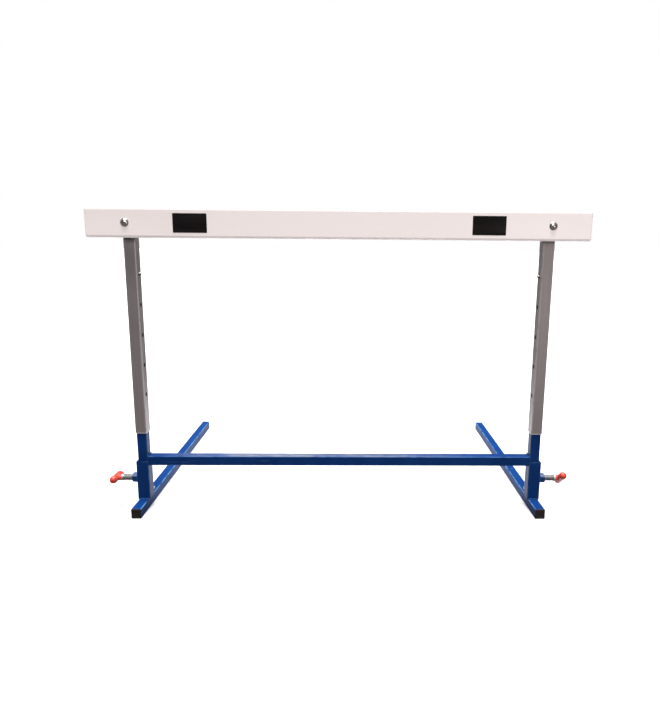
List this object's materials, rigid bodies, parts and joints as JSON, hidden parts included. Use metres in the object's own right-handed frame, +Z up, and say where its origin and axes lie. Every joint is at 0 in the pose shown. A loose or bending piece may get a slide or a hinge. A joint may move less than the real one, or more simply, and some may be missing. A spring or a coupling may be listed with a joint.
{
  "type": "track hurdle",
  "caption": "Free-standing athletics hurdle: a white board on uprights that slide to set its height, with clamped-on weighted feet.",
  "frame": {"origin": "on the floor, midway between the two feet and midway along them", "axes": "+X along the board to the viewer's right, +Y from the board along the feet, +Z up"},
  "size_m": [1.2, 0.7, 0.762],
  "materials": {
    "white_board": "smooth white",
    "white_cap": "smooth white",
    "black_marker": "glossy black film",
    "bright_bolt": "bright plated",
    "steel_spacer": "plain",
    "zinc": "zinc plated",
    "grey_paint": "satin grey powder coat",
    "black_plastic": "fine matte",
    "blue_paint": "satin blue powder coat",
    "pale_nylon": "smooth, off-white",
    "spring_steel": "dark spring steel",
    "button_steel": "nickel plated",
    "counterweight_iron": "plain",
    "screw_steel": "zinc plated",
    "red_grip": "smooth red"
  },
  "bodies": {
    "bar_carriage": {"crossbar_board": "white_board", "end_cap_left": "white_cap", "end_cap_right": "white_cap", "marker_left": "black_marker", "marker_right": "black_marker", "bar_bolt_left": "bright_bolt", "bar_bolt_right": "bright_bolt", "bar_spacer_left": "steel_spacer", "bar_spacer_right": "steel_spacer", "bar_washer_left": "zinc", "bar_washer_right": "zinc", "bar_nut_left": "zinc", "bar_nut_right": "zinc", "outer_upright_left": "grey_paint", "outer_upright_right": "grey_paint", "top_cap_left": "black_plastic", "top_cap_right": "black_plastic"},
    "lower_frame": {"cross_member": "blue_paint", "inner_upright_left": "blue_paint", "inner_upright_right": "blue_paint", "guide_plug_left": "pale_nylon", "guide_plug_right": "pale_nylon", "snap_spring_left": "spring_steel", "snap_spring_right": "spring_steel"},
    "snap_left": {"snap_button_left": "button_steel"},
    "base_left": {"foot_tube_left": "blue_paint", "foot_plug_front_left": "black_plastic", "foot_plug_rear_left": "black_plastic", "socket_left": "blue_paint", "clamp_nut_left": "blue_paint", "counterweight_left": "counterweight_iron", "counterweight_bolt_left": "zinc"},
    "clamp_tip_left": {"clamp_pad_left": "black_plastic"},
    "clamp_left": {"clamp_screw_left": "screw_steel", "clamp_collar_left": "screw_steel", "clamp_grip_left": "red_grip"},
    "snap_right": {"snap_button_right": "button_steel"},
    "base_right": {"foot_tube_right": "blue_paint", "foot_plug_front_right": "black_plastic", "foot_plug_rear_right": "black_plastic", "socket_right": "blue_paint", "clamp_nut_right": "blue_paint", "counterweight_right": "counterweight_iron", "counterweight_bolt_right": "zinc"},
    "clamp_tip_right": {"clamp_pad_right": "black_plastic"},
    "clamp_right": {"clamp_screw_right": "screw_steel", "clamp_collar_right": "screw_steel", "clamp_grip_right": "red_grip"}
  },
  "joints": [
    {"name": "height_slide", "type": "slide", "parent": "lower_frame", "child": "bar_carriage", "axis": [0, 0, 1], "range_m": [0, 0.3048], "deforming": ["snap_button_left", "snap_button_right"]},
    {"name": "snap_press_left", "type": "slide", "parent": "lower_frame", "child": "snap_left", "axis": [-1, 0, 0], "range_m": [0, 0.0075], "stiffness_N_per_m": 800, "springref_m": -0.002, "deforming": ["snap_spring_left"]},
    {"name": "base_slide_left", "type": "slide", "parent": "lower_frame", "child": "base_left", "axis": [0, 0, -1], "range_m": [0, 0.11]},
    {"name": "clamp_travel_left", "type": "slide", "parent": "base_left", "child": "clamp_tip_left", "axis": [-1, 0, 0], "range_m": [0, 0.012]},
    {"name": "clamp_turn_left", "type": "hinge", "parent": "clamp_tip_left", "child": "clamp_left", "pos_m": [-0.54, -0.275, 0.078], "axis": [-1, 0, 0], "range_deg": [0, 2160]},
    {"name": "snap_press_right", "type": "slide", "parent": "lower_frame", "child": "snap_right", "axis": [1, 0, 0], "range_m": [0, 0.0075], "stiffness_N_per_m": 800, "springref_m": -0.002, "deforming": ["snap_spring_right"]},
    {"name": "base_slide_right", "type": "slide", "parent": "lower_frame", "child": "base_right", "axis": [0, 0, -1], "range_m": [0, 0.11]},
    {"name": "clamp_travel_right", "type": "slide", "parent": "base_right", "child": "clamp_tip_right", "axis": [1, 0, 0], "range_m": [0, 0.012]},
    {"name": "clamp_turn_right", "type": "hinge", "parent": "clamp_tip_right", "child": "clamp_right", "pos_m": [0.54, -0.275, 0.078], "axis": [1, 0, 0], "range_deg": [0, 2160]}
  ],
  "couplings": [
    {"joint": "clamp_turn_left", "follows": "clamp_travel_left", "rad_per_m": 3141.6},
    {"joint": "clamp_turn_right", "follows": "clamp_travel_right", "rad_per_m": 3141.6}
  ]
}
